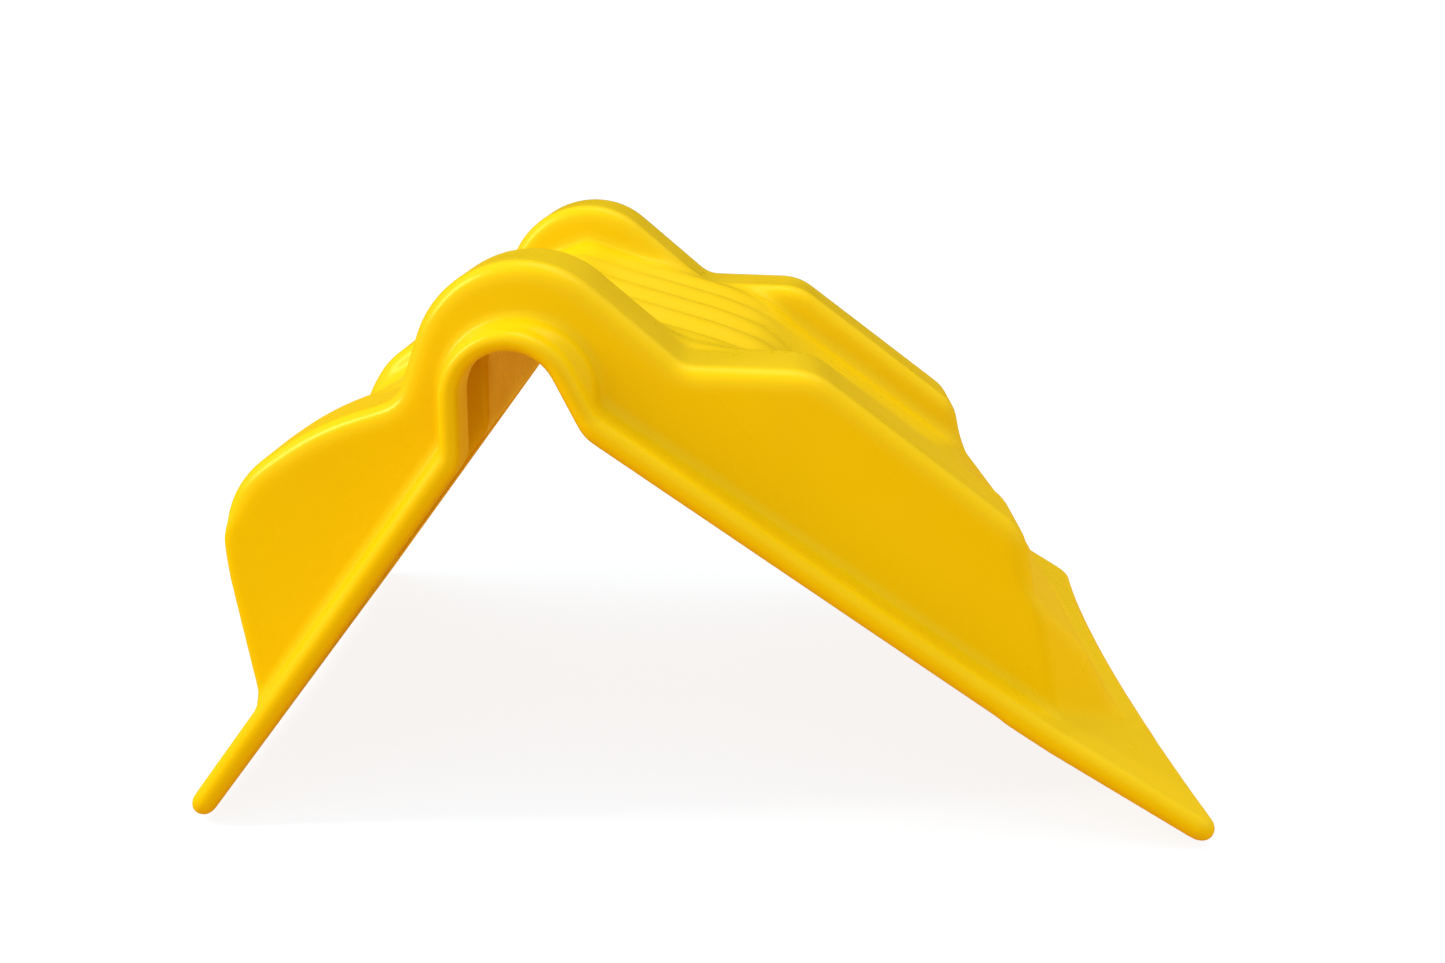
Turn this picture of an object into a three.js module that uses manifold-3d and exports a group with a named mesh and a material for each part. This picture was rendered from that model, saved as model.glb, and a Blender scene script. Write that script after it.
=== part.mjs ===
// Strap edge protector (load corner protector) for cargo lashing webbing.
//
// One thin-walled plastic moulding: two legs of unequal length meet at a crown, each leg standing on
// its tip. Flanges lie along both sides, two tall hollow guide fins rise inside them, and the strap
// runs over a raised ribbed bed between the fins. The moulding is drawn here as its moulded zones,
// one solid each, with a fine gap between neighbours.
//
// Millimetres, +Z up, +X towards the tip of the long leg, Y across the width. The side profile is
// drawn in X and Z and every zone is pushed out along Y.

import * as THREE from 'three';
import * as BufferGeometryUtils from 'three/addons/utils/BufferGeometryUtils.js';
import Module from 'manifold-3d';

const wasm = await Module();
wasm.setup();

// ---- driving dimensions ------------------------------------------------------------------------

const WALL = 3.5;            // moulded wall
const RIM = 6;               // flange and pad thickness
const ARCH_RIM = 4.8;        // thickness of the relief arch
const GAP = 0.3;             // parting gap between neighbouring zones

const HALF_WIDTH = 97;       // middle plane to the outer rim
const FIN_OUTER = 85;        // middle plane to the outer face of a fin
const FIN_INNER = 53;        // middle plane to the inner face of a fin

const LONG_SLOPE = THREE.MathUtils.degToRad(34.2);
const SHORT_SLOPE = THREE.MathUtils.degToRad(54.2);
const PAD_SLOPE = THREE.MathUtils.degToRad(31.1);   // the long end pad lies a little flatter
const FLOOR = -4.4;                                 // Z of the plane that both tips stand on

const CORNER = new THREE.Vector2(-43.5, 105.4);     // where the two load faces would meet
const ARCH_CENTRE = new THREE.Vector2(-45.2, 103.3);
const ARCH_RADIUS = 11.3;                           // inside radius of the relief arch
const ARCH_FLANK = THREE.MathUtils.degToRad(62.8);  // slope of the arch flank above the long leg

const LONG_FIN_END = 86;     // X where the fins end on the long leg
const SHORT_FIN_END = -110;  // X where the fins end on the short leg
const CAP_LOW = 66;          // Z where a fin's rounded top gives way to its end wall
const LONG_TOE = 107.5;      // X where the long ramp meets its end pad
const SHORT_TOE_STRIP = 12;  // pad left beyond the short ramp
const PAD_STEP = 1.2;        // the middle of a pad stands this much above its wings
const LONG_PAD_RECESS = 9;   // how far the long end edge is drawn in at mid width
const SHORT_PAD_RECESS = 2;
const PAD_CORNER = 6;        // corner radius of an end pad

const RIB_COUNT = 5;
const RIB_WIDTH = 9;
const RIB_HEIGHT = 2.4;
const RIB_PITCH = 24;

const ARC_STEP = THREE.MathUtils.degToRad(9);

// ---- lines of the side profile -----------------------------------------------------------------

const unit = (angle) => new THREE.Vector2(Math.cos(angle), Math.sin(angle));
const LONG_DIRECTION = unit(-LONG_SLOPE);                // from the crown to the long tip
const LONG_UP = unit(Math.PI / 2 - LONG_SLOPE);          // square to the long leg, outwards
const SHORT_DIRECTION = unit(Math.PI + SHORT_SLOPE);     // from the crown to the short tip
const SHORT_UP = unit(Math.PI / 2 + SHORT_SLOPE);

// A point along a line from start, moved off it by height.
function along(start, direction, up, distance, height) {
  return start.clone().addScaledVector(direction, distance).addScaledVector(up, height);
}

// The point of a line (through start, along direction) that has the given x.
function atX(start, direction, x) {
  return start.clone().addScaledVector(direction, (x - start.x) / direction.x);
}

// The point of a line that has the given z.
function atZ(start, direction, z) {
  return start.clone().addScaledVector(direction, (z - start.y) / direction.y);
}

// The stretch of a falling polyline that lies below z, from its point at z.
function below(points, z) {
  const first = points.findIndex((point) => point.y < z);
  const direction = points[first].clone().sub(points[first - 1]);
  return [atZ(points[first], direction, z), ...points.slice(first)];
}

// Where two lines cross.
function crossing(a, aDirection, b, bDirection) {
  const offset = b.clone().sub(a);
  const distance = offset.cross(bDirection) / aDirection.cross(bDirection);
  return a.clone().addScaledVector(aDirection, distance);
}

// A polyline through corners [x, z, radius], each corner with a radius turned into an arc.
function rounded(corners) {
  const points = [];
  corners.forEach(([x, z, radius], index) => {
    const here = new THREE.Vector2(x, z);
    if (!radius || index === 0 || index === corners.length - 1) {
      points.push(here);
      return;
    }
    const before = new THREE.Vector2(...corners[index - 1]).sub(here).normalize();
    const after = new THREE.Vector2(...corners[index + 1]).sub(here).normalize();
    const half = Math.acos(THREE.MathUtils.clamp(before.dot(after), -1, 1)) / 2;
    const centre = before.clone().add(after).normalize().multiplyScalar(radius / Math.sin(half)).add(here);
    const from = before.multiplyScalar(radius / Math.tan(half)).add(here).sub(centre);
    const to = after.multiplyScalar(radius / Math.tan(half)).add(here).sub(centre);
    const turn = Math.atan2(from.cross(to), from.dot(to));
    const steps = Math.max(2, Math.ceil(Math.abs(turn) / ARC_STEP));
    for (let step = 0; step <= steps; step += 1) {
      points.push(from.clone().rotateAround(new THREE.Vector2(), turn * step / steps).add(centre));
    }
  });
  return points.filter((point, index) => index === 0 || point.distanceTo(points[index - 1]) > 0.01);
}

// The polyline moved sideways by distance, to the left of its direction when distance is positive.
function offset(points, distance) {
  return points.map((point, index) => {
    const before = points[Math.max(index - 1, 0)];
    const after = points[Math.min(index + 1, points.length - 1)];
    const into = point.clone().sub(before).normalize();
    const out = after.clone().sub(point).normalize();
    const mean = into.clone().add(out).normalize();
    const stretch = index === 0 || index === points.length - 1 ? 1 : 1 / mean.dot(out);
    return new THREE.Vector2(-mean.y, mean.x).multiplyScalar(distance * stretch).add(point);
  });
}

// A closed outline of even thickness below a polyline drawn from left to right.
function strip(points, thickness) {
  return [...points, ...offset(points, -thickness).reverse()];
}

// ---- solids ------------------------------------------------------------------------------------

// A three.js geometry as a manifold solid.
function solid(geometry) {
  const bare = geometry.clone();
  bare.deleteAttribute('normal');
  bare.deleteAttribute('uv');
  const merged = BufferGeometryUtils.mergeVertices(bare, 1e-5);
  return new wasm.Manifold(new wasm.Mesh({
    numProp: 3,
    vertProperties: new Float32Array(merged.attributes.position.array),
    triVerts: new Uint32Array(merged.index.array),
  }));
}

// An outline in X and Z pushed out along Y from y0 to y1.
function slab(outline, y0, y1) {
  const geometry = new THREE.ExtrudeGeometry(new THREE.Shape(outline), {
    depth: y1 - y0,
    bevelEnabled: false,
    curveSegments: 1,
  });
  geometry.rotateX(Math.PI / 2);
  geometry.translate(0, y1, 0);
  return solid(geometry);
}

// A box between two corners.
function block(x0, x1, y0, y1, z0, z1) {
  const geometry = new THREE.BoxGeometry(x1 - x0, y1 - y0, z1 - z0);
  geometry.translate((x0 + x1) / 2, (y0 + y1) / 2, (z0 + z1) / 2);
  return solid(geometry);
}

// The part of a solid between two X planes.
function between(shape, x0, x1) {
  return shape.intersect(block(x0, x1, -200, 200, -50, 250));
}

// ---- the moulding's lines ----------------------------------------------------------------------

const shortTop = CORNER.clone().addScaledVector(SHORT_UP, RIM);
const longTop = CORNER.clone().addScaledVector(LONG_UP, RIM);
const shortTip = atZ(shortTop, SHORT_DIRECTION, FLOOR + RIM * Math.cos(SHORT_SLOPE));
const padStart = atX(longTop, LONG_DIRECTION, LONG_FIN_END);
const padDirection = unit(-PAD_SLOPE);
const padUp = unit(Math.PI / 2 - PAD_SLOPE);
const longTip = atZ(padStart, padDirection, FLOOR + RIM * Math.cos(PAD_SLOPE));
const shortFinFoot = atX(shortTop, SHORT_DIRECTION, SHORT_FIN_END);

// The relief arch's line at a radius, from the short leg to the long leg, where the legs' own lines
// lie at a height above the load faces: [x, z, corner radius] for each corner.
function archCorners(radius, height, shortFillet, longFillet) {
  const flankStart = ARCH_CENTRE.clone().addScaledVector(unit(Math.PI / 2 - ARCH_FLANK), radius);
  const flank = unit(-ARCH_FLANK);
  const top = new THREE.Vector2(0, ARCH_CENTRE.y + radius);
  const shortLine = CORNER.clone().addScaledVector(SHORT_UP, height);
  const longLine = CORNER.clone().addScaledVector(LONG_UP, height);
  const shortFoot = atX(shortLine, SHORT_DIRECTION, ARCH_CENTRE.x - radius);
  const peak = crossing(top, new THREE.Vector2(1, 0), flankStart, flank);
  const longFoot = crossing(flankStart, flank, longLine, LONG_DIRECTION);
  return [
    [shortFoot.x, shortFoot.y, shortFillet],
    [shortFoot.x, top.y, radius],
    [peak.x, peak.y, radius],
    [longFoot.x, longFoot.y, longFillet],
  ];
}

// Outer and inner line of the flanges, left to right: short leg, relief arch, long leg.
const outerArch = archCorners(ARCH_RADIUS + ARCH_RIM, RIM, 4, 6);
const innerArch = archCorners(ARCH_RADIUS, 0, 8, 10);
const shortEnd = shortFinFoot.clone().addScaledVector(SHORT_UP, -RIM);
const longEnd = padStart.clone().addScaledVector(LONG_UP, -RIM);
const flangeLine = rounded([shortFinFoot.toArray(), ...outerArch, padStart.toArray()]);
const loadLine = rounded([shortEnd.toArray(), ...innerArch, longEnd.toArray()]);

// Top line of a fin, left to right: lobe over the short leg, hump over the crown, long panel.
const finLine = rounded([
  [SHORT_FIN_END, shortFinFoot.y],
  [-118.6, 76.4, 24],
  [-94.1, 93.5, 70],
  [-73.6, 100.2, 9],
  [-62.6, 133.4, 26],
  [-34.8, 133.4, 24],
  [-6.0, 109.6, 8],
  [24.2, 109.0, 16],
  [75.3, 71.5, 12],
  [LONG_FIN_END, padStart.y],
]);

// Strap bed: over the short leg to the arch, and from the arch over the long leg to the ramp.
const shortToe = along(shortTip, SHORT_DIRECTION, SHORT_UP, -SHORT_TOE_STRIP, PAD_STEP);
const longToe = atX(padStart, padDirection, LONG_TOE).addScaledVector(padUp, PAD_STEP);
const shortBedLine = rounded([
  [shortToe.x, shortToe.y],
  [-116.5, 70.1, 12],
  [-48, 118.2],
]);
const longBedLine = rounded([
  [-40, 118.4],
  [13.5, 103.4, 30],
  [75.2, 59.2, 25],
  [96.0, 34.5, 25],
  [longToe.x, longToe.y],
]);
const SHORT_RAMP_TOP = -111; // X where the short bed ends and its ramp begins
const LONG_RAMP_TOP = 74;    // X where the long bed ends and its ramp begins
const RIB_START = -32;       // X where the ribs rise out of the crown
const RIB_END = 22;          // X where the ribs have faded out

// Edges of the end walls, each running down from the end of a fin's cap to a pad.
const END_ROWS = 7;
const END_TOP = CAP_LOW - 1.5;
const longFinEdge = below(finLine.filter((point) => point.x > 0), END_TOP);
const longRampEdge = [longFinEdge[0], ...longBedLine.filter((point) => point.x > longFinEdge[0].x)];
const shortFinEdge = below(finLine.filter((point) => point.x < 0).reverse(), END_TOP);
const shortRampEdge = below([...shortBedLine].reverse(), END_TOP);

// ---- zones -------------------------------------------------------------------------------------

const group = new THREE.Group();

// Bright lemon on the faces the strap and load touch, deeper gold on the side faces.
const YELLOW = 0xf7cf05;
const GOLD = 0xeab908;

function add(name, shape, color) {
  const { vertProperties, triVerts, numProp } = shape.getMesh();
  if (numProp !== 3) throw new Error(`${name}: unexpected vertex layout`);
  const geometry = new THREE.BufferGeometry();
  geometry.setAttribute('position', new THREE.BufferAttribute(new Float32Array(vertProperties), 3));
  geometry.setIndex(new THREE.BufferAttribute(new Uint32Array(triVerts), 1));
  geometry.computeVertexNormals();
  const material = new THREE.MeshStandardMaterial({ color, roughness: 0.32, metalness: 0 });
  const mesh = new THREE.Mesh(geometry, material);
  mesh.name = name;
  group.add(mesh);
}

// The whole body of the moulding below a fin's top line, closed by the load faces and the arch.
function finBody(y0, y1) {
  return slab([...finLine, ...loadLine.toReversed()], y0, y1);
}

// The region under the strap bed line, to cut a fin's inner wall off at the bed.
function underBed(y0, y1) {
  const low = -40;
  const line = [...shortBedLine, ...longBedLine];
  return slab([
    ...line,
    new THREE.Vector2(line.at(-1).x, low),
    new THREE.Vector2(line[0].x, low),
  ], y0, y1);
}

// The room that an end wall and what lies beyond it take from a fin's inner wall.
function beyondEnd(edge, outwards, y0, y1) {
  const inside = edge.map(({ x, y }) => new THREE.Vector2(x - outwards * (WALL + 2 * GAP), y));
  const far = outwards * 150;
  return slab([
    new THREE.Vector2(inside[0].x, END_TOP + GAP),
    ...inside,
    new THREE.Vector2(far, inside.at(-1).y),
    new THREE.Vector2(far, END_TOP + GAP),
  ], y0, y1);
}

const LOBE = [-150, -74];
const HUMP = [-74 + GAP, -6];
const PANEL = [-6 + GAP, 150];

function buildFin(side, sign) {
  const band = (inner, outer) => (sign > 0 ? [inner, outer] : [-outer, -inner]);
  const outerWall = finBody(...band(FIN_OUTER - WALL, FIN_OUTER));
  const capBand = band(FIN_INNER + WALL + GAP, FIN_OUTER - WALL - GAP);
  const cap = slab(strip(finLine.filter((point) => point.y > CAP_LOW), WALL), ...capBand);
  const innerBand = band(FIN_INNER, FIN_INNER + WALL);
  const innerWall = finBody(...innerBand)
    .subtract(underBed(...innerBand))
    .subtract(beyondEnd(longRampEdge, 1, ...innerBand))
    .subtract(beyondEnd(shortRampEdge, -1, ...innerBand));
  for (const [zone, range] of Object.entries({ lobe: LOBE, hump: HUMP, panel: PANEL })) {
    add(`${side}_fin_${zone}_outer_wall`, between(outerWall, ...range), GOLD);
    add(`${side}_fin_${zone}_cap`, between(cap, ...range), YELLOW);
    add(`${side}_fin_${zone}_inner_wall`, between(innerWall, ...range), GOLD);
  }
}

function buildFlange(side, sign) {
  const band = sign > 0
    ? [FIN_OUTER + GAP, HALF_WIDTH]
    : [-HALF_WIDTH, -FIN_OUTER - GAP];
  const flange = slab([...flangeLine, ...loadLine.toReversed()], ...band);
  const archStart = outerArch[0][0] - 4;
  const archEnd = outerArch[3][0] + 8;
  add(`${side}_flange_short_leg`, between(flange, -150, archStart), GOLD);
  add(`${side}_flange_relief_arch`, between(flange, archStart + GAP, archEnd), YELLOW);
  add(`${side}_flange_long_leg`, between(flange, archEnd + GAP, 150), GOLD);
}

// A fin's end wall: a sheet ruled from the inner face of the fin, where it follows the ramp of the
// strap bed down to the toe, to the outer face, where it follows the end of the fin.
function endWall(innerLine, outerLine, sign) {
  const inward = innerLine[0].x > 0 ? -WALL : WALL;
  const innerY = sign * (FIN_INNER + GAP);
  const outerY = sign * (FIN_OUTER - WALL - GAP);
  const corners = innerLine.flatMap((inner, row) => {
    const outer = outerLine[row];
    return [
      [inner.x, innerY, inner.y],
      [outer.x, outerY, outer.y],
      [outer.x + inward, outerY, outer.y],
      [inner.x + inward, innerY, inner.y],
    ];
  });
  const last = corners.length - 4;
  const faces = [[0, 1, 2], [0, 2, 3], [last, last + 2, last + 1], [last, last + 3, last + 2]];
  for (let row = 0; row < last; row += 4) {
    for (let side = 0; side < 4; side += 1) {
      const here = row + side;
      const next = row + (side + 1) % 4;
      faces.push([next, here, here + 4], [next, here + 4, next + 4]);
    }
  }
  const mirrored = sign * innerLine[0].x > 0;
  const geometry = new THREE.BufferGeometry();
  geometry.setAttribute('position', new THREE.Float32BufferAttribute(corners.flat(), 3));
  geometry.setIndex(faces.flatMap((face) => (mirrored ? face : face.toReversed())));
  return solid(geometry);
}

// Points at even shares of a polyline's length.
function spread(points, count) {
  const path = new THREE.CurvePath();
  for (let index = 0; index + 1 < points.length; index += 1) {
    path.add(new THREE.LineCurve(points[index], points[index + 1]));
  }
  return Array.from({ length: count }, (_, index) => path.getPointAt(index / (count - 1)));
}

// An end pad in its own frame: u runs from the fin ends to the tip, v across, w off the load face.
function padPlate(length, toe, recess) {
  const plate = new THREE.Shape();
  plate.moveTo(GAP, -HALF_WIDTH);
  plate.lineTo(length - PAD_CORNER, -HALF_WIDTH);
  plate.quadraticCurveTo(length, -HALF_WIDTH, length, PAD_CORNER - HALF_WIDTH);
  const pulled = length - recess;
  const third = HALF_WIDTH / 3;
  plate.bezierCurveTo(pulled, -third, pulled, third, length, HALF_WIDTH - PAD_CORNER);
  plate.quadraticCurveTo(length, HALF_WIDTH, length - PAD_CORNER, HALF_WIDTH);
  plate.lineTo(GAP, HALF_WIDTH);
  plate.lineTo(GAP, FIN_OUTER - GAP);
  plate.lineTo(toe + GAP, FIN_INNER);
  plate.lineTo(toe + GAP, -FIN_INNER);
  plate.lineTo(GAP, GAP - FIN_OUTER);
  const options = { depth: RIM, bevelEnabled: false, curveSegments: 8 };
  return solid(new THREE.ExtrudeGeometry(plate, options));
}

// The raised middle of an end pad, from the toe of the ramp to the end edge.
function padStep(length, toe, recess) {
  const edge = length - recess - GAP;
  const shape = new THREE.Shape([
    new THREE.Vector2(toe + GAP, -FIN_INNER),
    new THREE.Vector2(edge, -FIN_INNER),
    new THREE.Vector2(edge, FIN_INNER),
    new THREE.Vector2(toe + GAP, FIN_INNER),
  ]);
  return solid(new THREE.ExtrudeGeometry(shape, { depth: RIM + PAD_STEP, bevelEnabled: false }));
}

// Turns a solid drawn in u, v, w so that it lies on a leg: start is where u and w are nought.
function onLeg(shape, start, direction) {
  const u = new THREE.Vector3(direction.x, 0, direction.y);
  const across = new THREE.Vector3(0, Math.sign(direction.x), 0);
  const up = u.clone().cross(across);
  const place = new THREE.Matrix4().makeBasis(u, across, up);
  place.setPosition(start.x, 0, start.y);
  return shape.transform(place.elements);
}

function buildPad(name, start, direction, up, tip, toePoint, recess) {
  const length = tip.distanceTo(start);
  const toe = toePoint.clone().sub(start).dot(direction);
  const foot = start.clone().addScaledVector(up, -RIM);
  const pad = padPlate(length, toe, recess).add(padStep(length, toe, recess));
  add(name, onLeg(pad, foot, direction), YELLOW);
}

function buildBed() {
  const half = FIN_INNER - GAP;
  const archLine = rounded(outerArch);
  add('crown_arch', slab([...archLine, ...rounded(innerArch).reverse()], -half, half), YELLOW);
  const reach = half + 1;
  const room = [...offset(archLine, GAP), new THREE.Vector2(outerArch[3][0], 60)];
  const clear = slab(room, -reach, reach);
  const shortSheet = slab(strip(shortBedLine, WALL), -half, half).subtract(clear);
  add('strap_bed_short_leg', between(shortSheet, SHORT_RAMP_TOP + GAP, 0), YELLOW);
  add('ramp_short_leg', between(shortSheet, -150, SHORT_RAMP_TOP), YELLOW);
  const longSheet = slab(strip(longBedLine, WALL), -half, half).subtract(clear);
  add('strap_bed_ribbed_slope', between(longSheet, -60, RIB_END), YELLOW);
  add('strap_bed_long_leg', between(longSheet, RIB_END + GAP, LONG_RAMP_TOP), YELLOW);
  add('ramp_long_leg', between(longSheet, LONG_RAMP_TOP + GAP, 150), YELLOW);
}

// Ribs that run down the slope from the crown and fade out into the bed.
function buildRibs() {
  const line = spread(longBedLine.filter((point) => point.x < RIB_END + 8), 24)
    .filter((point) => point.x > RIB_START && point.x < RIB_END);
  const base = offset(line, GAP);
  const top = offset(line, RIB_HEIGHT).map((point, index) => {
    const share = index / (line.length - 1);
    return point.lerp(base[index], share * share * 0.8);
  });
  const outline = [...top, ...base.reverse()];
  for (let index = 0; index < RIB_COUNT; index += 1) {
    const y = (index - (RIB_COUNT - 1) / 2) * RIB_PITCH;
    add(`strap_rib_${index + 1}`, slab(outline, y - RIB_WIDTH / 2, y + RIB_WIDTH / 2), YELLOW);
  }
}

function buildEndWalls(side, sign) {
  add(`${side}_fin_end_wall_long_leg`,
    endWall(spread(longRampEdge, END_ROWS), spread(longFinEdge, END_ROWS), sign), GOLD);
  add(`${side}_fin_end_wall_short_leg`,
    endWall(spread(shortRampEdge, END_ROWS), spread(shortFinEdge, END_ROWS), sign), GOLD);
}

for (const [side, sign] of [['near', -1], ['far', 1]]) {
  buildFlange(side, sign);
  buildFin(side, sign);
  buildEndWalls(side, sign);
}
buildBed();
buildRibs();
buildPad('end_pad_long_leg', padStart, padDirection, padUp, longTip, longToe, LONG_PAD_RECESS);
buildPad('end_pad_short_leg', shortFinFoot, SHORT_DIRECTION, SHORT_UP, shortTip, shortToe,
  SHORT_PAD_RECESS);

// The middle of the length stands over the origin, and both tips on Z = 0.
group.position.x = -new THREE.Box3().setFromObject(group).getCenter(new THREE.Vector3()).x;
group.position.z = -FLOOR;

export default group;
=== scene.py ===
"""Strap edge protector: the visual model, its material, and a plain studio.

The real object is one injection moulding, so it is made here as one seamless skin: its zones are
distance fields in millimetres, joined with rounded fillets, hollowed from below, and turned into a
mesh. Lengths are in millimetres until the mesh is made, in the CAD's own axes.
"""

import math

import bpy
import numpy as np
from mathutils import Matrix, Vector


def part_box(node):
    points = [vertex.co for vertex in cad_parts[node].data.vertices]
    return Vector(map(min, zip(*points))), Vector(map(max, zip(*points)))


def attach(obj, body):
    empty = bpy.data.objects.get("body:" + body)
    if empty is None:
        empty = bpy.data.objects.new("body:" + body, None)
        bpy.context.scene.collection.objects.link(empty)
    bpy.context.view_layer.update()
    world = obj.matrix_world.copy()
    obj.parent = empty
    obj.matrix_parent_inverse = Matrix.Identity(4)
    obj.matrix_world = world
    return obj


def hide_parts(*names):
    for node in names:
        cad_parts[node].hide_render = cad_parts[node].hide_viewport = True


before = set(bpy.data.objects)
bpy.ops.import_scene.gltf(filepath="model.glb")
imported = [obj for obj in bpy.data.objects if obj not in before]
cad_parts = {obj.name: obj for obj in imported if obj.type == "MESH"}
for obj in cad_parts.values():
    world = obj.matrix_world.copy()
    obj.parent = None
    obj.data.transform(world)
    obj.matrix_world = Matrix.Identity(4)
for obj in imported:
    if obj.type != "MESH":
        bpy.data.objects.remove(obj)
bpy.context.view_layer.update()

# ---- driving dimensions --------------------------------------------------------------------------

WALL = 3.5          # moulded wall
RIM = 6.0           # flange and pad thickness
ARCH_RIM = 4.8      # thickness of the relief arch
HALF_WIDTH = 97.0   # middle plane to the outer rim
FIN_OUTER = 85.0    # middle plane to a fin's outer face
FIN_INNER = 53.0    # middle plane to a fin's inner face
STEP = 0.9          # spacing of the samples that the skin is made from

LONG_SLOPE = math.radians(34.2)
SHORT_SLOPE = math.radians(54.2)
PAD_SLOPE = math.radians(31.1)
FLOOR = -4.4        # height of the plane that both tips stand on
ARCH_FLANK = math.radians(62.8)
ARCH_RADIUS = 11.3
LONG_FIN_END = 86.0
SHORT_FIN_END = -110.0
LONG_TOE = 107.5
SHORT_TOE_STRIP = 12.0
PAD_STEP = 1.2
LONG_TOE_HALF = 57.0
SHORT_TOE_HALF = 34.0
PAD_CORNER = 6.0
LONG_PAD_RECESS = 9.0
SHORT_PAD_RECESS = 2.0

FIN_EDGE = 4.5      # radius along the top of a fin
RIM_EDGE = 2.8      # radius along the rim of the flanges and pads
FOOT_FILLET = 2.5   # where the fins stand on the flanges
BED_FILLET = 4.0    # where the strap bed meets the fins

RIB_PITCH = 24.0
RIB_HEIGHT = 2.8
RIB_FROM, RIB_FULL, RIB_FADE, RIB_TO = -50.0, -42.0, -2.0, 30.0

HUMP_TOP = 133.4                  # height of the fins over the crown
LONG_FIN_CORNER = (75.3, 71.5)    # where a fin's top turns down towards the long pad
SHORT_FIN_CORNER = (-118.6, 76.4)
LONG_WEDGE_FROM = 75.0            # X where the ramps start to widen
SHORT_WEDGE_FROM = -108.0
LONG_WEDGE_HOLLOW = 80.0          # and where they are hollow
SHORT_WEDGE_HOLLOW = -110.0
WEDGE_EDGE = 2.0
CROWN_FILLET = 3.0
LEDGE_SHIFT = 2.5                 # the ledge that follows the arch on a fin's outer face
LEDGE_RISE = 0.8
LEDGE_REACH = 5.0
LEDGE_EDGE = 2.0
LEDGE_FILLET = 1.5
STEP_INSET = 5.0                  # from a pad's end edge to its raised middle
STEP_EDGE = 1.5
STEP_FILLET = 3.0

ARC_STEP = math.radians(3)
FAR = 400.0
DEEP = 60.0
BEYOND = 12.0       # the profile's lines run on this far past the tips


def unit(angle):
    return np.array([math.cos(angle), math.sin(angle)])


# The CAD's own origin, under the middle of the length, in the axes that the profile is drawn in.
SHIFT = 1000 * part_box("near_fin_panel_outer_wall")[1][0] - LONG_FIN_END
LIFT = -FLOOR
CORNER = np.array([-43.5, 105.4])
ARCH_CENTRE = np.array([-45.2, 103.3])
LONG_DIRECTION = unit(-LONG_SLOPE)
LONG_UP = unit(math.pi / 2 - LONG_SLOPE)
SHORT_DIRECTION = unit(math.pi + SHORT_SLOPE)
SHORT_UP = unit(math.pi / 2 + SHORT_SLOPE)
PAD_DIRECTION = unit(-PAD_SLOPE)
PAD_UP = unit(math.pi / 2 - PAD_SLOPE)


# ---- lines of the side profile -------------------------------------------------------------------

def at_x(start, direction, x):
    return start + direction * (x - start[0]) / direction[0]


def at_z(start, direction, z):
    return start + direction * (z - start[1]) / direction[1]


def cross(a, b):
    return a[0] * b[1] - a[1] * b[0]


def crossing(a, a_direction, b, b_direction):
    return a + a_direction * cross(b - a, b_direction) / cross(a_direction, b_direction)


def rounded(corners):
    """A polyline through (x, z) corners, where a third number turns a corner into an arc."""
    points = []
    for index, corner in enumerate(corners):
        here = np.array(corner[:2], float)
        if len(corner) < 3 or index in (0, len(corners) - 1):
            points.append(here)
            continue
        radius = corner[2]
        before = np.array(corners[index - 1][:2]) - here
        after = np.array(corners[index + 1][:2]) - here
        before /= np.linalg.norm(before)
        after /= np.linalg.norm(after)
        half = math.acos(np.clip(before @ after, -1, 1)) / 2
        middle = before + after
        centre = here + middle / np.linalg.norm(middle) * radius / math.sin(half)
        start = here + before * radius / math.tan(half) - centre
        end = here + after * radius / math.tan(half) - centre
        turn = math.atan2(cross(start, end), start @ end)
        steps = max(2, math.ceil(abs(turn) / ARC_STEP))
        for angle in np.linspace(0, turn, steps + 1):
            cosine, sine = math.cos(angle), math.sin(angle)
            spin = np.array([[cosine, -sine], [sine, cosine]])
            points.append(centre + spin @ start)
    points = np.array(points)
    apart = np.linalg.norm(np.diff(points, axis=0), axis=1) > 0.01
    return points[np.concatenate([[True], apart])]


short_top = CORNER + SHORT_UP * RIM
long_top = CORNER + LONG_UP * RIM
short_tip = at_z(short_top, SHORT_DIRECTION, FLOOR + RIM * math.cos(SHORT_SLOPE))
short_foot = at_x(short_top, SHORT_DIRECTION, SHORT_FIN_END)
pad_start = at_x(long_top, LONG_DIRECTION, LONG_FIN_END)
long_tip = at_z(pad_start, PAD_DIRECTION, FLOOR + RIM * math.cos(PAD_SLOPE))
short_toe = short_tip - SHORT_DIRECTION * SHORT_TOE_STRIP + SHORT_UP * PAD_STEP
long_toe = at_x(pad_start, PAD_DIRECTION, LONG_TOE) + PAD_UP * PAD_STEP


def sheet_line(height, radius, short_fillet, long_fillet):
    """A line along the flanges at a height above the load faces, from beyond the short tip, over
    the relief arch at a radius, to beyond the long tip."""
    flank = unit(-ARCH_FLANK)
    flank_start = ARCH_CENTRE + unit(math.pi / 2 - ARCH_FLANK) * radius
    top = ARCH_CENTRE[1] + radius
    short_line = CORNER + SHORT_UP * height
    long_line = CORNER + LONG_UP * height
    short_arch = at_x(short_line, SHORT_DIRECTION, ARCH_CENTRE[0] - radius)
    peak = crossing(np.array([0, top]), np.array([1.0, 0]), flank_start, flank)
    long_arch = crossing(flank_start, flank, long_line, LONG_DIRECTION)
    pad_line = pad_start + PAD_UP * (height - RIM)
    bend = crossing(long_line, LONG_DIRECTION, pad_line, PAD_DIRECTION)
    return rounded([
        tuple(short_tip + SHORT_UP * (height - RIM) + SHORT_DIRECTION * BEYOND),
        (*short_arch, short_fillet),
        (short_arch[0], top, radius),
        (*peak, radius),
        (*long_arch, long_fillet),
        tuple(bend),
        tuple(long_tip + PAD_UP * (height - RIM) + PAD_DIRECTION * BEYOND),
    ])


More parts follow.
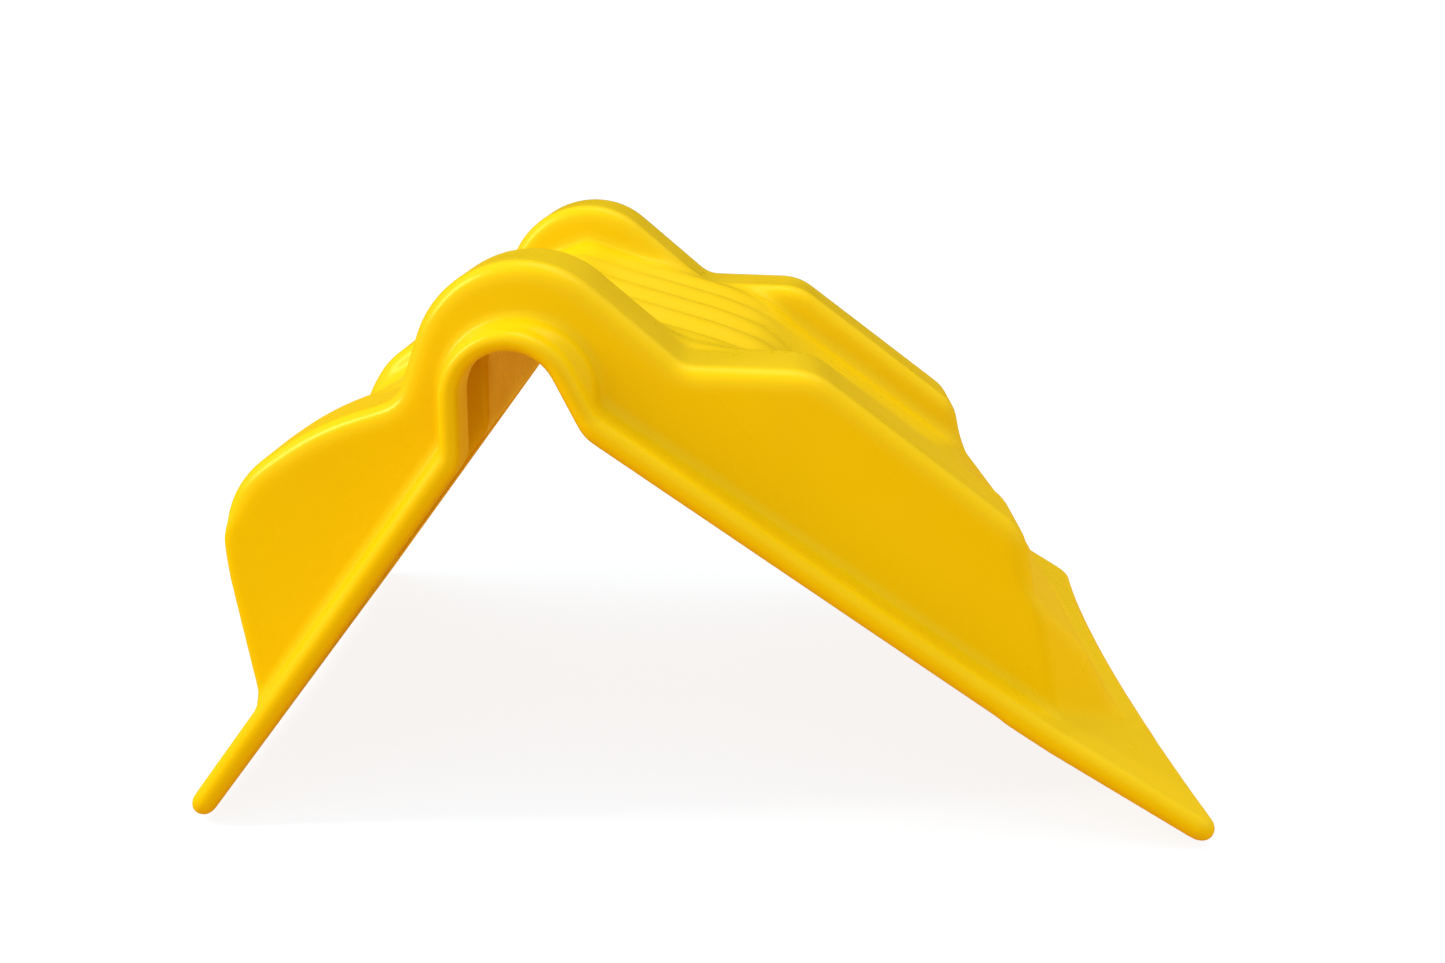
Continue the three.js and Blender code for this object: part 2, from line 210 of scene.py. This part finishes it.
arch_outer = ARCH_RADIUS + ARCH_RIM
flange_line = sheet_line(RIM, arch_outer, 4, 6)
load_line = sheet_line(0, ARCH_RADIUS, 8, 10)

fin_line = rounded([
    (SHORT_FIN_END, short_foot[1]),
    (*SHORT_FIN_CORNER, 24),
    (-94.1, 93.5, 70),
    (-73.6, 100.2, 9),
    (-62.6, HUMP_TOP, 26),
    (-34.8, HUMP_TOP, 24),
    (-6.0, 109.6, 8),
    (24.2, 109.0, 16),
    (*LONG_FIN_CORNER, 12),
    (LONG_FIN_END, pad_start[1]),
])

short_bed_line = rounded([
    tuple(short_toe),
    (-116.5, 70.1, 12),
    (-48.0, 118.2),
])
long_bed_line = rounded([
    (-40.0, 118.4),
    (13.5, 103.4, 30),
    (75.2, 59.2, 25),
    (96.0, 34.5, 25),
    tuple(long_toe),
])


# ---- distance fields -----------------------------------------------------------------------------
# A field is negative inside its solid. x and z run over the grid's planes, y across them; the model
# is symmetrical, so only the half with y above 0 is worked out.

def polygon(points, x, z):
    """Signed distance to a closed outline."""
    nearest = np.full(np.broadcast(x, z).shape, FAR * FAR)
    inside = np.zeros(nearest.shape, bool)
    for (ax, az), (bx, bz) in zip(points, np.roll(points, -1, axis=0)):
        ex, ez = bx - ax, bz - az
        if ex * ex + ez * ez < 1e-9:
            continue
        wx, wz = x - ax, z - az
        share = np.clip((wx * ex + wz * ez) / (ex * ex + ez * ez), 0, 1)
        nearest = np.minimum(nearest, (wx - ex * share) ** 2 + (wz - ez * share) ** 2)
        if abs(ez) > 1e-9:
            inside ^= ((az <= z) != (bz <= z)) & (wx < wz / ez * ex)
    distance = np.sqrt(nearest)
    return np.where(inside, -distance, distance).astype(np.float32)


def both(a, b, radius):
    """What lies in a and in b, with their shared edge rounded."""
    past = np.hypot(np.maximum(a + radius, 0), np.maximum(b + radius, 0))
    return np.minimum(np.maximum(a, b), -radius) + past


def either(a, b, radius):
    """What lies in a or in b, with a fillet where they meet."""
    short = np.hypot(np.maximum(radius - a, 0), np.maximum(radius - b, 0))
    return np.maximum(np.minimum(a, b), radius) - short


def plane_field(corners, x, y, z):
    """Signed distance to the plane through three points, positive on the outer (+Y) side."""
    a, b, c = (np.array(corner) for corner in corners)
    normal = np.cross(b - a, c - a)
    normal = normal / np.linalg.norm(normal) * (1 if normal[1] > 0 else -1)
    distance = (x - a[0]) * normal[0] + (y - a[1]) * normal[1] + (z - a[2]) * normal[2]
    return distance.astype(np.float32)


def smooth_step(low, high, value):
    share = np.clip((value - low) / (high - low), 0, 1)
    return share * share * (3 - 2 * share)


def pad_outline(length, recess):
    """Half of an end pad in plan: u towards the tip, v across from the middle plane."""
    side = HALF_WIDTH - PAD_CORNER
    share = np.linspace(0.5, 1, 16)
    edge_u = length - 3 * share * (1 - share) * recess
    edge_v = side * (share**3 - (1 - share)**3) + HALF_WIDTH * share * (1 - share) * (2 * share - 1)
    turns = np.linspace(0, math.pi / 2, 14)
    bend_u = length - PAD_CORNER * (1 - np.cos(turns))
    bend_v = side + PAD_CORNER * np.sin(turns)
    edge = np.column_stack([np.concatenate([edge_u, bend_u]), np.concatenate([edge_v, bend_v])])
    return np.vstack([[(-16, -20), (edge_u[0], -20)], edge, [(-16, HALF_WIDTH)]])


def pad_field(start, direction, up, tip, toe, toe_half, recess, x, y, z):
    """An end pad with a rounded rim and its slightly raised middle."""
    foot = start - up * RIM
    length = float(np.linalg.norm(tip - start))
    u = (x - foot[0]) * direction[0] + (z - foot[1]) * direction[1]
    w = (x - foot[0]) * up[0] + (z - foot[1]) * up[1]
    plan = polygon(pad_outline(length, recess), u, y)
    plate = both(plan, np.abs(w - RIM / 2) - RIM / 2, RIM_EDGE)
    toe_u = float((toe - start) @ direction)
    side = y - toe_half + (u - toe_u) * 0.5
    raised = np.maximum(side, np.abs(w - (RIM + PAD_STEP) / 2) - (RIM + PAD_STEP) / 2)
    raised = np.maximum(both(raised, plan + STEP_INSET, STEP_EDGE), toe_u - 8 - u)
    return either(plate, raised, STEP_FILLET)


def build_field():
    margin = 4 * STEP
    low_x, high_x = short_tip[0] - margin - 4, long_tip[0] + margin + 4
    x = np.arange(low_x, high_x, STEP, dtype=np.float32)[:, None, None]
    y = np.arange(STEP / 2, HALF_WIDTH + margin, STEP, dtype=np.float32)[None, :, None]
    z = np.arange(FLOOR - margin, HUMP_TOP + margin, STEP, dtype=np.float32)[None, None, :]

    below = [(LONG_FIN_END + 3, -40), (SHORT_FIN_END + 5, -40)]
    fin_side = polygon(np.vstack([fin_line, below]), x, z)
    bed_line = np.vstack([short_bed_line, long_bed_line])
    through = [long_toe - PAD_UP * DEEP, short_toe - SHORT_UP * DEEP]
    bed_side = polygon(np.vstack([bed_line, through]), x, z)
    crown = (np.hypot(x - ARCH_CENTRE[0], z - ARCH_CENTRE[1]) - arch_outer).astype(np.float32)
    bed_side = either(bed_side, crown, CROWN_FILLET)
    rise = smooth_step(RIB_FROM, RIB_FULL, x) * (1 - smooth_step(RIB_FADE, RIB_TO, x))
    ribs = rise * RIB_HEIGHT * (0.5 + 0.5 * np.cos(2 * math.pi * y / RIB_PITCH))
    ribbed_side = (bed_side - ribs).astype(np.float32)
    sky = [(FAR, -DEEP), (FAR, FAR), (-FAR, FAR), (-FAR, -DEEP)]
    above = polygon(np.vstack([load_line, sky]), x, z)
    strip = polygon(np.vstack([flange_line, load_line[::-1]]), x, z)

    fin_band = np.abs(y - (FIN_OUTER + FIN_INNER) / 2) - (FIN_OUTER - FIN_INNER) / 2
    fins = both(fin_side, fin_band, FIN_EDGE)
    bed = np.maximum(ribbed_side, y - FIN_INNER - WALL)

    # Beyond the fins' ends the ramps widen towards the fins, down to the toes.
    long_side = plane_field([
        (LONG_FIN_CORNER[0], FIN_OUTER, LONG_FIN_CORNER[1]),
        (LONG_FIN_END, FIN_OUTER, pad_start[1]),
        (long_toe[0], LONG_TOE_HALF, long_toe[1]),
    ], x, y, z)
    long_wedge = np.maximum(both(bed_side, long_side, WEDGE_EDGE), LONG_WEDGE_FROM - x)
    short_side = plane_field([
        (SHORT_FIN_CORNER[0], FIN_OUTER, SHORT_FIN_CORNER[1]),
        (SHORT_FIN_END, FIN_OUTER, short_foot[1]),
        (short_toe[0], SHORT_TOE_HALF, short_toe[1]),
    ], x, y, z)
    short_wedge = np.maximum(both(bed_side, short_side, WEDGE_EDGE), x - SHORT_WEDGE_FROM)
    wedges = np.minimum(
        np.maximum(long_wedge, y - FIN_OUTER),
        np.maximum(short_wedge, y - FIN_OUTER),
    )

    masses = np.minimum(either(fins, bed, BED_FILLET), wedges)

    # The sheet that lies on the load: flanges with a rounded rim, and the end pads.
    middle = np.maximum(x - pad_start[0] - 1, short_foot[0] - 1 - x)
    flanges = np.maximum(both(strip, y - HALF_WIDTH, RIM_EDGE), middle)
    long_pad = pad_field(
        pad_start, PAD_DIRECTION, PAD_UP, long_tip, long_toe, LONG_TOE_HALF,
        LONG_PAD_RECESS, x, y, z)
    short_pad = pad_field(
        short_foot, SHORT_DIRECTION, SHORT_UP, short_tip, short_toe, SHORT_TOE_HALF,
        SHORT_PAD_RECESS, x, y, z)
    sheet = np.minimum(flanges, np.minimum(long_pad, short_pad))

    body = either(masses, sheet, FOOT_FILLET)
    ledge = np.hypot(x - ARCH_CENTRE[0] - LEDGE_SHIFT, z - ARCH_CENTRE[1])
    ledge = (ledge - arch_outer - LEDGE_RISE).astype(np.float32)
    ledge = both(ledge, np.abs(y - FIN_OUTER) - LEDGE_REACH, LEDGE_EDGE)
    body = either(body, ledge, LEDGE_FILLET)
    hollow = np.minimum(
        np.maximum(fin_side + WALL, fin_band + WALL),
        np.maximum(bed_side + WALL, y - FIN_INNER),
    )
    wedge_hollow = np.minimum(
        np.maximum(np.maximum(bed_side, long_side) + WALL, LONG_WEDGE_HOLLOW - x),
        np.maximum(np.maximum(bed_side, short_side) + WALL, x - SHORT_WEDGE_HOLLOW),
    )
    hollow = np.minimum(hollow, np.maximum(wedge_hollow, y - FIN_OUTER + WALL))
    body = np.maximum(np.maximum(body, above), -hollow)

    # Between the fins the relief arch runs through as a sheet.
    arch = np.maximum(np.maximum(strip, y - FIN_INNER - 0.5), np.abs(x + 43) - 18.5)
    body = np.minimum(body, arch)

    return body, (float(low_x), float(z.ravel()[0]))


# ---- from the field to a mesh --------------------------------------------------------------------

def softened(field):
    """A light blur, which gives every remaining edge a small moulded radius."""
    for axis in range(3):
        for _ in range(2):
            inner = [slice(None)] * 3
            before = [slice(None)] * 3
            after = [slice(None)] * 3
            inner[axis] = slice(1, -1)
            before[axis] = slice(None, -2)
            after[axis] = slice(2, None)
            smooth = field.copy()
            smooth[tuple(inner)] = (
                field[tuple(inner)] * 0.5
                + field[tuple(before)] * 0.25
                + field[tuple(after)] * 0.25
            )
            field = smooth
    return field


def sample(field, points):
    """The field at points given in samples, between its samples."""
    base = np.clip(np.floor(points).astype(np.int64), 0, np.array(field.shape) - 2)
    part = points - base
    total = 0
    for corner in np.ndindex(2, 2, 2):
        weight = np.prod(np.where(corner, part, 1 - part), axis=1)
        at = base + corner
        total = total + weight * field[at[:, 0], at[:, 1], at[:, 2]]
    return total


def slope(field, points):
    """The unit direction in which the field grows."""
    out = np.empty_like(points)
    for axis in range(3):
        reach = np.zeros(3)
        reach[axis] = 0.8
        out[:, axis] = sample(field, points + reach) - sample(field, points - reach)
    return out / np.maximum(np.linalg.norm(out, axis=1, keepdims=True), 1e-9)


def skin(field):
    """Vertices (in samples) and quads of the surface where the field is 0, one vertex to a cell."""
    inside = field < 0
    count = np.zeros(tuple(n - 1 for n in field.shape), np.int8)
    for i, j, k in np.ndindex(2, 2, 2):
        nx, ny, nz = count.shape
        count += inside[i:i + nx, j:j + ny, k:k + nz]
    active = np.argwhere((count > 0) & (count < 8))
    number = np.full(count.shape, -1, np.int32)
    number[tuple(active.T)] = np.arange(len(active))
    total = np.zeros((len(active), 3))
    hits = np.zeros((len(active), 1))
    for axis in range(3):
        others = [other for other in range(3) if other != axis]
        for i, j in np.ndindex(2, 2):
            start = active.copy()
            start[:, others[0]] += i
            start[:, others[1]] += j
            end = start.copy()
            end[:, axis] += 1
            a, b = field[tuple(start.T)], field[tuple(end.T)]
            crosses = ((a < 0) != (b < 0))[:, None]
            share = np.where(crosses[:, 0], a / np.where(a == b, 1, a - b), 0)
            point = start.astype(float)
            point[:, axis] += share
            total += np.where(crosses, point, 0)
            hits += crosses
    vertices = total / hits
    quads = []
    for axis in range(3):
        first, second = [(1, 2), (2, 0), (0, 1)][axis]
        low = [slice(1, -1)] * 3
        high = [slice(1, -1)] * 3
        low[axis], high[axis] = slice(0, -1), slice(1, None)
        change = inside[tuple(low)].astype(np.int8) - inside[tuple(high)].astype(np.int8)
        edges = np.argwhere(change != 0)
        way = change[tuple(edges.T)]
        edges[:, first] += 1
        edges[:, second] += 1
        ring = []
        for back_first, back_second in ((1, 1), (0, 1), (0, 0), (1, 0)):
            cell = edges.copy()
            cell[:, first] -= back_first
            cell[:, second] -= back_second
            ring.append(number[tuple(cell.T)])
        quad = np.stack(ring, axis=1)
        quad[way < 0] = quad[way < 0][:, ::-1]
        quads.append(quad)
    return vertices, np.vstack(quads)


def relaxed(vertices, quads, share):
    """Each vertex moved by a share of the way to the middle of its neighbours."""
    ends = np.concatenate([quads.ravel(), np.roll(quads, -1, axis=1).ravel()])
    others = np.concatenate([np.roll(quads, -1, axis=1).ravel(), quads.ravel()])
    number = np.bincount(ends, minlength=len(vertices))
    sums = [
        np.bincount(ends, weights=vertices[others, axis], minlength=len(vertices))
        for axis in range(3)
    ]
    middle = np.stack([total / number for total in sums], axis=1)
    return vertices + share * (middle - vertices)


def make_moulding():
    half, (low_x, low_z) = build_field()
    field = softened(np.concatenate([half[:, ::-1], half], axis=1))
    vertices, quads = skin(field)
    for _ in range(3):
        away = slope(field, vertices)
        vertices -= away * np.clip(sample(field, vertices) / STEP, -0.4, 0.4)[:, None]
    for share in (0.5, -0.52) * 3:
        vertices = relaxed(vertices, quads, share)
    origin = np.array([low_x + SHIFT, -(half.shape[1] - 0.5) * STEP, low_z + LIFT])
    places = (vertices * STEP + origin) / 1000
    mesh = bpy.data.meshes.new("moulding")
    mesh.from_pydata(places.tolist(), [], quads.tolist())
    mesh.polygons.foreach_set("use_smooth", np.ones(len(quads), bool))
    piece = bpy.data.objects.new("moulding", mesh)
    bpy.context.scene.collection.objects.link(piece)
    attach(piece, "root")
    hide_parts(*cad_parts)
    return piece


# ---- material ------------------------------------------------------------------------------------

def yellow_plastic():
    material = bpy.data.materials.new("yellow_plastic")
    material.use_nodes = True
    nodes, links = material.node_tree.nodes, material.node_tree.links
    shader = nodes["Principled BSDF"]
    shader.inputs["IOR"].default_value = 1.5
    shader.inputs["Specular IOR Level"].default_value = 0.4
    shader.inputs["Specular Tint"].default_value = (1.0, 0.86, 0.3, 1)

    place = nodes.new("ShaderNodeTexCoord")

    # Slow streaks of pigment, as flow leaves in a self-coloured moulding.
    flow = nodes.new("ShaderNodeTexNoise")
    flow.inputs["Scale"].default_value = 14
    flow.inputs["Detail"].default_value = 3
    links.new(place.outputs["Object"], flow.inputs["Vector"])
    tint = nodes.new("ShaderNodeValToRGB")
    tint.color_ramp.elements[0].position = 0.3
    tint.color_ramp.elements[0].color = (0.85, 0.58, 0.001, 1)
    tint.color_ramp.elements[1].position = 0.7
    tint.color_ramp.elements[1].color = (0.87, 0.61, 0.001, 1)
    links.new(flow.outputs["Fac"], tint.inputs["Fac"])
    links.new(tint.outputs["Color"], shader.inputs["Base Color"])

    # Handling leaves the gloss uneven.
    wear = nodes.new("ShaderNodeTexNoise")
    wear.inputs["Scale"].default_value = 45
    wear.inputs["Detail"].default_value = 6
    links.new(place.outputs["Object"], wear.inputs["Vector"])
    gloss = nodes.new("ShaderNodeMapRange")
    gloss.inputs["From Min"].default_value = 0.35
    gloss.inputs["From Max"].default_value = 0.7
    gloss.inputs["To Min"].default_value = 0.26
    gloss.inputs["To Max"].default_value = 0.36
    links.new(wear.outputs["Fac"], gloss.inputs["Value"])
    links.new(gloss.outputs["Result"], shader.inputs["Roughness"])

    # The mould's fine texture.
    fine = nodes.new("ShaderNodeTexNoise")
    fine.inputs["Scale"].default_value = 900
    fine.inputs["Detail"].default_value = 2
    links.new(place.outputs["Object"], fine.inputs["Vector"])
    texture = nodes.new("ShaderNodeBump")
    texture.inputs["Strength"].default_value = 0.06
    texture.inputs["Distance"].default_value = 0.0001
    links.new(fine.outputs["Fac"], texture.inputs["Height"])
    links.new(texture.outputs["Normal"], shader.inputs["Normal"])
    return material


# ---- studio --------------------------------------------------------------------------------------

# Each channel's level for the rays that light the object, then for the camera's rays.
FLOOR_SHADE = (("Red", 0.23, 0.15), ("Green", 0.16, 0.19), ("Blue", 0.02, 0.23))
FLOOR_GLOW = (("Red", 0.52, 0.85), ("Green", 0.24, 0.85), ("Blue", 0.01, 0.85))
LAMP_COLOUR = (1.0, 0.94, 0.72)   # tinted, not white
WORLD_LEVEL = 1.0
WORLD_IN_GLOSS = 0.012            # gloss hardly mirrors the world


def by_ray(tree, ray, otherwise, for_ray):
    """A level that is for_ray on one kind of ray, and otherwise on the rest."""
    path = tree.nodes.new("ShaderNodeLightPath")
    level = tree.nodes.new("ShaderNodeMapRange")
    level.inputs["To Min"].default_value = otherwise
    level.inputs["To Max"].default_value = for_ray
    tree.links.new(path.outputs[ray], level.inputs["Value"])
    return level.outputs["Result"]


def make_floor():
    """A floor that is white to the camera only. Every other ray meets a warm orange surface that
    glows, so the floor tints the object. It is not a plain floor's light."""
    mesh = bpy.data.meshes.new("floor")
    size = 12.0
    corners = [(-size, -size, 0), (size, -size, 0), (size, size, 0), (-size, size, 0)]
    mesh.from_pydata(corners, [], [(0, 1, 2, 3)])
    floor = bpy.data.objects.new("floor", mesh)
    bpy.context.scene.collection.objects.link(floor)
    material = bpy.data.materials.new("floor_white")
    material.use_nodes = True
    nodes, links = material.node_tree.nodes, material.node_tree.links
    shader = nodes["Principled BSDF"]
    shader.inputs["Roughness"].default_value = 0.9
    shader.inputs["Specular IOR Level"].default_value = 0
    shade = nodes.new("ShaderNodeCombineColor")
    for channel, to_object, seen in FLOOR_SHADE:
        level = by_ray(material.node_tree, "Is Camera Ray", to_object, seen)
        links.new(level, shade.inputs[channel])
    links.new(shade.outputs["Color"], shader.inputs["Base Color"])
    glow = nodes.new("ShaderNodeCombineColor")
    for channel, to_object, seen in FLOOR_GLOW:
        level = by_ray(material.node_tree, "Is Camera Ray", to_object, seen)
        links.new(level, glow.inputs[channel])
    links.new(glow.outputs["Color"], shader.inputs["Emission Color"])
    shader.inputs["Emission Strength"].default_value = 1
    mesh.materials.append(material)


def area_light(name, place, aim, size, power):
    light = bpy.data.lights.new(name, "AREA")
    light.shape = "RECTANGLE"
    light.size, light.size_y = size
    light.energy = power
    light.color = LAMP_COLOUR
    lamp = bpy.data.objects.new(name, light)
    bpy.context.scene.collection.objects.link(lamp)
    direction = np.array(aim, float) - np.array(place, float)
    direction /= np.linalg.norm(direction)
    side = np.cross(direction, (0, 0, 1))
    side /= np.linalg.norm(side)
    up = np.cross(side, direction)
    turn = Matrix((side, up, -direction)).transposed()
    lamp.matrix_world = Matrix.Translation(place) @ turn.to_4x4()


def make_lights():
    scene = bpy.context.scene
    world = bpy.data.worlds.new("studio")
    world.use_nodes = True
    background = world.node_tree.nodes["Background"]
    background.inputs["Color"].default_value = (1, 1, 1, 1)
    level = by_ray(world.node_tree, "Is Glossy Ray", WORLD_LEVEL, WORLD_IN_GLOSS)
    world.node_tree.links.new(level, background.inputs["Strength"])
    scene.world = world
    area_light("strip", (-0.9, -0.25, 0.75), (0, 0, 0.08), (0.06, 0.7), 7)
    area_light("top", (0.2, 0.3, 1.2), (0, 0, 0.05), (0.9, 0.6), 3)
    scene.view_settings.view_transform = "Standard"
    scene.view_settings.look = "None"


def make_camera():
    lens = bpy.data.cameras.new("camera")
    lens.sensor_width = 36
    lens.lens = 37.4
    lens.clip_start = 0.01
    camera = bpy.data.objects.new("camera", lens)
    camera.location = (0.0113 + SHIFT / 1000, -0.4241, 0.17715 + LIFT / 1000)
    camera.rotation_euler = (math.radians(74.46), math.radians(-0.76), math.radians(1.56))
    bpy.context.scene.collection.objects.link(camera)
    bpy.context.scene.camera = camera


make_camera()
make_floor()
make_lights()
moulding = make_moulding()
moulding.data.materials.append(yellow_plastic())
